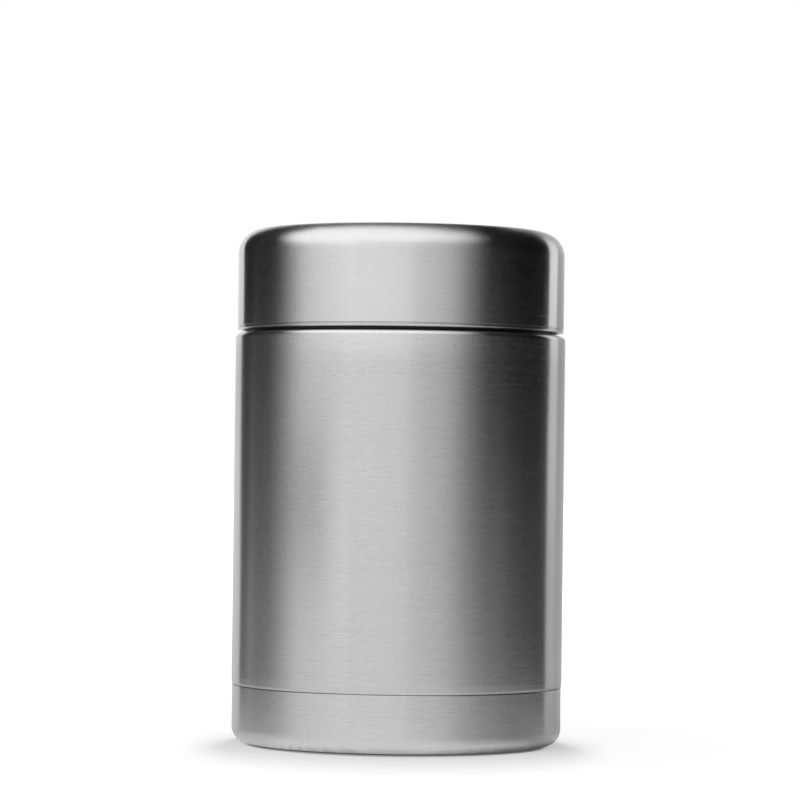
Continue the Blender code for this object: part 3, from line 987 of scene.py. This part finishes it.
def makeLamp(name, place, aim, size, watts):
    lamp = bpy.data.lights.new(name, "AREA")
    lamp.shape = "RECTANGLE"
    lamp.size, lamp.size_y = size
    lamp.energy = watts
    holder = newObject(name, lamp)
    holder.location = place
    direction = np.array(place) - np.array(aim)
    pitch = math.atan2(math.hypot(direction[0], direction[1]), direction[2])
    holder.rotation_euler = (pitch, 0, math.atan2(direction[0], -direction[1]))
    holder.visible_glossy = False  # metal shows the cards instead


def cardGlow():
    material = newMaterial("cardGlow")
    tree = material.node_tree
    tone = put(tree, "ShaderNodeAttribute", (-1, 0), {"attribute_name": "tone"})
    light = put(tree, "ShaderNodeEmission", (0, 0), values={"Strength": 1.0})
    join(tree, tone, "Color", light, "Color")
    finishTree(tree, light, (1, 0))
    return material


def studioCard(name, columns, rows, placeAt, toneAt, material):
    # A flat card with its points at these columns and rows. Only reflections show it: placeAt says
    # where each point is, and toneAt how bright it is there. Both work on whole arrays, in metres.
    u, v = np.meshgrid(columns, rows, indexing="ij")
    points = np.stack(np.broadcast_arrays(*placeAt(u, v)), -1).reshape(-1, 3)
    i, j = np.meshgrid(np.arange(len(columns) - 1), np.arange(len(rows) - 1), indexing="ij")
    first = i * len(rows) + j
    faces = np.stack([first, first + len(rows), first + len(rows) + 1, first + 1], -1)
    mesh = bpy.data.meshes.new(name)
    mesh.from_pydata(points.tolist(), [], faces.reshape(-1, 4).tolist())
    tone = toneAt(u, v).ravel()
    layer = mesh.color_attributes.new("tone", "FLOAT_COLOR", "POINT")
    layer.data.foreach_set("color", np.stack([tone, tone, tone, np.ones_like(tone)], 1).ravel())
    mesh.materials.append(material)
    card = newObject(name, mesh)
    card.visible_camera = False
    card.visible_diffuse = False
    card.visible_transmission = False
    card.visible_shadow = False


# How bright each card is: mostly a list of places, in metres, and one of the tones there.
cardLook = {
    "side": 0.15,  # the two side cards stand this far from the jar's axis
    "tall": 0.45,
    "roofHeight": 0.75,
    "ahead": -1.3,
    "behind": 0.6,
    "floorHeight": 0.0004,
    "leftAlong": (
        [-0.25, -0.19, -0.145, -0.12, -0.1, -0.081, -0.063, -0.045, -0.026, -0.008, 0.018],
        [0.84, 0.82, 0.775, 0.73, 0.685, 0.63, 0.475, 0.28, 0.12, 0.025, 0.0],
    ),
    "leftStripes": (
        [0.02, 0.035, 0.05, 0.0634, 0.08, 0.0885, 0.105, 0.13],
        [1.0, 1.15, 1.4, 0.95, 0.72, 0.65, 0.62, 0.7],
    ),
    "leftUp": (
        [0.0, 0.02, 0.03, 0.055, 0.09, 0.105, 0.125, 0.14, 0.16, 0.26, 0.3],
        [0.145, 0.18, 0.235, 0.155, 0.095, 0.09, 0.05, 0.018, 0.02, 0.035, 0.05],
    ),
    # by how far, and between which heights, the tones slide along the card
    "leftSlides": [(-0.004, 0.09, 0.115), (0.014, 0.12, 0.14)],
    # darker and lighter clouds: strength, middle and half width along, middle and half height
    "leftClouds": [(-0.9, -0.115, 0.068, 0.0725, 0.018), (0.4, -0.12, 0.06, 0.112, 0.012)],
    "leftDim": (0.07, 0.12, 0.14),  # how much darker above, and between which heights
    "leftEnd": (
        [0.0, 0.04, 0.09, 0.12, 0.14, 0.16, 0.186, 0.2, 0.22, 0.25, 0.31, 0.36, 0.45],
        [0.118, 0.117, 0.137, 0.14, 0.145, 0.147, 0.168, 0.19, 0.222, 0.262, 0.31, 0.4, 0.5],
    ),
    "leftEndSoft": 0.002,
    "leftRim": (
        [0.0, 0.05, 0.09, 0.105, 0.125, 0.14, 0.3],
        [0.64, 0.72, 0.76, 0.64, 0.64, 0.78, 0.9],
    ),
    "leftPanel": (  # where the lamp panel begins, seen in the side card
        [0.14, 0.175, 0.2, 0.222, 0.25, 0.29, 0.36, 0.41, 0.45],
        [-0.085, -0.046, -0.023, 0.0, 0.02, 0.035, 0.062, 0.1, 0.13],
    ),
    "leftPanelRise": (-0.025, 0.05),
    "leftPanelUp": (0.155, 0.215),
    "rightAlong": (
        [-1.3, -0.75, -0.38, -0.296, -0.24, -0.2, -0.169, -0.141, -0.119, -0.097, -0.06, -0.02],
        [0.7, 0.635, 0.565, 0.515, 0.45, 0.355, 0.245, 0.148, 0.073, 0.02, 0.006, 0.0],
    ),
    "rightUp": (
        [0.0, 0.04, 0.07, 0.09, 0.12, 0.15, 0.2, 0.3],
        [0.045, 0.042, 0.03, 0.022, 0.013, 0.0, 0.006, 0.012],
    ),
    "rightPanel": ([0.2, 0.244, 0.287, 0.34, 0.41], [-0.16, -0.13, -0.105, -0.085, -0.05]),
    "rightOnLid": ([-0.4, -0.2, -0.165, -0.12], [0.1, 0.06, -0.05, -0.15]),
    "lidSide": (0.13, -0.045),  # distance of the lid's side from the card, and its place along it
    "lidRise": (0.1, 0.131),  # the lid's part of the card begins between these heights,
    "lidSlope": 0.04,  # which climb this much with the distance
    "lidTop": 0.15,
    "hazeAlong": ([-0.2, -0.12, -0.08, -0.05, -0.02, 0.03], [0.0, 0.75, 0.9, 0.45, 0.25, 0.15]),
    "hazeUp": (
        [0.0, 0.018, 0.04, 0.056, 0.0885, 0.12, 0.135, 0.15],
        [0.05, 0.08, 0.16, 0.14, 0.055, 0.03, 0.01, 0.0],
    ),
    "stripStart": (
        [0.0, 0.09, 0.13, 0.16, 0.173, 0.187, 0.204, 0.226, 0.25, 0.28, 0.35],
        [0.053, 0.053, 0.062, 0.063, 0.066, 0.074, 0.083, 0.104, 0.122, 0.15, 0.2],
    ),
    "stripWidth": 0.06,
    "stripGrowth": (0.3, 0.14),  # how fast it widens, and above which height
    "stripUp": (
        [0.0, 0.03, 0.05, 0.09, 0.11, 0.125, 0.145, 0.17, 0.2, 0.225, 0.25, 0.28, 0.3],
        [0.56, 0.56, 0.53, 0.72, 0.66, 0.7, 0.95, 0.92, 0.8, 0.7, 0.45, 0.25, 0.15],
    ),
    "greyUp": (
        [0.0, 0.04, 0.08, 0.1, 0.125, 0.15, 0.17, 0.2, 0.23, 0.25, 0.28, 0.35, 0.45],
        [0.47, 0.44, 0.44, 0.42, 0.37, 0.39, 0.46, 0.54, 0.5, 0.44, 0.28, 0.12, 0.06],
    ),
    "greyRise": ([0.0, 0.15, 0.25, 0.28, 0.35, 0.45], [0.02, 0.1, 0.1, 0.25, 0.35, 0.25]),
    "greyRiseAlong": (0.15, 0.45),
    "aheadAcross": (
        [-2.4, -1.64, -1.06, -0.52, -0.25, 0.0, 0.28],
        [0.9, 0.93, 0.95, 0.98, 0.95, 0.89, 0.78],
    ),
    "behindUp": ([0.0, 0.12, 0.3, 0.38, 0.45], [0.68, 0.85, 0.98, 0.85, 0.5]),
    "behindDim": (0.2, -0.05, 0.1),  # how much darker to the right, and between which places
    "floorRound": (  # by the angle from the viewer's side, in degrees, positive to the right
        [-180, -150, -96, -75, -57, -44, -30, 0, 10, 17, 22, 27, 32, 50, 64, 75, 90, 126, 150, 180],
        [
            0.6, 0.62, 0.58, 0.6, 0.62, 0.75, 0.8, 0.8, 0.78, 0.72,
            0.67, 0.58, 0.52, 0.36, 0.28, 0.4, 0.48, 0.38, 0.42, 0.6,
        ],
    ),
    "floorAway": (  # by the same angle, further out
        [-180, -96, -60, 0, 30, 60, 85, 105, 130, 180],
        [0.6, 0.6, 0.75, 0.8, 0.75, 0.62, 0.57, 0.34, 0.38, 0.6],
    ),
    "floorBlend": (0.07, 0.11),  # distances between which the one gives way to the other
    "floorFront": 0.14,  # added in front of the jar, up to these distances
    "frontNear": (0.06, 0.12),
    "frontAhead": (0.0, 0.03),
    "corner": 0.05,  # added right beside the foot, and more of it between these angles
    "cornerMore": 0.38,
    "cornerStart": (15, 45),
    "cornerStop": (50, 75),
    "cornerNear": (0.0505, 0.056),
    "contact": 0.2,  # share of the tone that is left under the foot, a painted shadow of the foot in the floor card
    "contactEdge": (0.0455, 0.0492),
    # how far this edge is moved out, by the same angle
    "contactShift": (
        [-110, -75, -50, -30, 15, 40, 80, 110],
        [0.0, -0.0013, -0.0013, 0.0, 0.0, 0.0014, 0.0014, 0.0],
    ),
    "roof": 0.02,
    "panel": 1.28,  # the lamp panel overhead
    "panelSlant": 1.08,
    "panelRight": 0.11,
    "panelBack": (0.12, 0.32),
    "panelLeft": (-1.15, -0.85),
    # its soft right edge, by the distance across it, on the side card and overhead
    "panelRise": (
        [-0.06, -0.038, 0.018, 0.08, 0.15, 0.25, 0.4],
        [0.0, 0.1, 0.54, 0.78, 0.86, 0.92, 1.0],
    ),
    "panelFall": (
        [-0.3, -0.146, -0.041, 0.03, 0.079, 0.128, 0.183, 0.235, 0.28],
        [1.0, 0.88, 0.68, 0.42, 0.24, 0.115, 0.055, 0.02, 0.0],
    ),
    "panelUp": ([0.25, 0.4, 0.6, 0.85], [0.0, 0.15, 0.6, 1.0]),  # by the slope up from the lid
}


def leftTone(y, z):
    s = cardLook
    along, cloud = y, 1
    for shift, low, high in s["leftSlides"]:
        along = along + shift * easeBetween(z, low, high)
    for strength, middle, width, level, height in s["leftClouds"]:
        away = ((y - middle) / width) ** 2 + ((z - level) / height) ** 2
        cloud = cloud + strength * np.exp(-away)
    dim, low, high = s["leftDim"]
    cloud = cloud * (1 - dim * easeBetween(z, low, high))
    dark = np.interp(z, *s["leftUp"]) * np.interp(y, *s["leftStripes"])
    tone = dark + np.interp(along, *s["leftAlong"]) * cloud
    end, soft = np.interp(z, *s["leftEnd"]), s["leftEndSoft"]
    tone = tone + (np.interp(z, *s["leftRim"]) - tone) * easeBetween(y, end - soft, end + soft)
    beyond = easeBetween(np.interp(z, *s["leftPanel"]) - y, *s["leftPanelRise"])
    return tone + (s["panel"] - tone) * beyond * easeBetween(z, *s["leftPanelUp"])


def rightTone(y, z):
    s = cardLook
    away = np.hypot(s["lidSide"][0], y - s["lidSide"][1])
    onLid = easeBetween(z - s["lidSlope"] * away, *s["lidRise"])
    dark = np.interp(y, *s["rightAlong"]) * (1 + onLid * np.interp(y, *s["rightOnLid"]))
    dark = dark + np.interp(z, *s["rightUp"])
    dark = dark + np.interp(z, *s["hazeUp"]) * np.interp(y, *s["hazeAlong"])
    start, (growth, above) = np.interp(z, *s["stripStart"]), s["stripGrowth"]
    end = start + s["stripWidth"] + growth * np.maximum(z - above, 0)
    strip = np.interp(z, *s["stripUp"])
    rise = np.interp(z, *s["greyRise"]) * easeBetween(y, *s["greyRiseAlong"])
    grey = np.interp(z, *s["greyUp"]) + rise
    tone = np.where(y < start, dark, np.where(y < end, strip, grey))
    beyond = np.interp(np.interp(z, *s["rightPanel"]) - y, *s["panelRise"])
    return tone + (s["panel"] - tone) * beyond * np.interp((z - s["lidTop"]) / away, *s["panelUp"])


def aheadTone(x, z):
    return np.interp(x, *cardLook["aheadAcross"])


def behindTone(x, z):
    dim, start, end = cardLook["behindDim"]
    return np.interp(z, *cardLook["behindUp"]) * (1 - dim * easeBetween(x, start, end))


def roofTone(x, y):
    # One bright panel. Its right edge runs slantwise and is soft, and its back edge is straight.
    s = cardLook
    slant = s["panelSlant"]
    right = np.interp((x + slant * y - s["panelRight"]) / math.hypot(1, slant), *s["panelFall"])
    back = 1 - easeBetween(y, *s["panelBack"])
    left = easeBetween(x, *s["panelLeft"])
    return s["roof"] + s["panel"] * right * back * left


def floorTone(x, y):
    s = cardLook
    angle = np.degrees(np.arctan2(x, -y))
    away = np.hypot(x, y)
    near, far = np.interp(angle, *s["floorRound"]), np.interp(angle, *s["floorAway"])
    tone = near + (far - near) * easeBetween(away, *s["floorBlend"])
    front = (1 - easeBetween(away, *s["frontNear"])) * easeBetween(-y, *s["frontAhead"])
    more = easeBetween(angle, *s["cornerStart"]) * (1 - easeBetween(angle, *s["cornerStop"]))
    corner = (s["corner"] + s["cornerMore"] * more) * (1 - easeBetween(away, *s["cornerNear"]))
    # painted shadow of the foot, darkening the floor card near it
    fromContact = away - np.interp(angle, *s["contactShift"])
    contact = s["contact"] + (1 - s["contact"]) * easeBetween(fromContact, *s["contactEdge"])
    return tone * (1 + s["floorFront"] * front) * (1 + corner) * contact


def spread(*spans):
    # Rows of evenly spaced places, each from (start, end, count).
    return np.concatenate([np.linspace(*span) for span in spans])


def makeCards():
    s = cardLook
    side, tall, roof, ahead, behind = s["side"], s["tall"], s["roofHeight"], s["ahead"], s["behind"]
    # the places are closest together near the jar
    up = spread((0, tall, 91))
    right = spread((ahead, -0.41, 20), (-0.4, 0.3, 281), (0.31, behind, 10))
    left = spread((-0.25, 0.2, 226), (0.21, behind, 12))
    wide, back, near = spread((-2.4, 0.28, 60)), spread((-side, side, 20)), (-0.15, 0.15, 121)
    roofX, roofY = spread((-1.3, 1.1, 120)), spread((ahead, 1.1, 120))
    across = spread((-2.4, -0.16, 40), near, (0.16, 1.0, 20))
    along = spread((ahead, -0.16, 30), near, (0.16, behind, 12))
    cards = {
        "leftCard": (left, up, lambda y, z: (-side, y, z), leftTone),
        "rightCard": (right, up, lambda y, z: (side, y, z), rightTone),
        "aheadCard": (wide, spread((0, roof, 8)), lambda x, z: (x, ahead, z), aheadTone),
        "behindCard": (back, spread((0, tall, 20)), lambda x, z: (x, behind, z), behindTone),
        "roofCard": (roofX, roofY, lambda x, y: (x, y, roof), roofTone),
        "floorCard": (across, along, lambda x, y: (x, y, s["floorHeight"]), floorTone),
    }
    glow = cardGlow()
    for name, values in cards.items():
        studioCard(name, *values, glow)


makeBackground()
makeFloor()
for lampName, lampValues in lamps.items():
    makeLamp(lampName, **lampValues)
makeCards()
print("studio made")


# Camera at the photograph's viewing angle

cameraPlace = {
    "location": (0.0, -1.05705, 0.08479),
    "turn": (91.038, -0.7134, -0.0142),  # degrees
    "lens": 156.578,
    "sensor": 36.0,
}


def makeCamera():
    camera = bpy.data.cameras.new("camera")
    camera.lens = cameraPlace["lens"]
    camera.sensor_fit = "HORIZONTAL"
    camera.sensor_width = cameraPlace["sensor"]
    holder = newObject("camera", camera)
    holder.location = cameraPlace["location"]
    holder.rotation_euler = [math.radians(turn) for turn in cameraPlace["turn"]]
    bpy.context.scene.camera = holder


makeCamera()
bpy.context.scene.view_settings.view_transform = "Standard"
print("camera set")
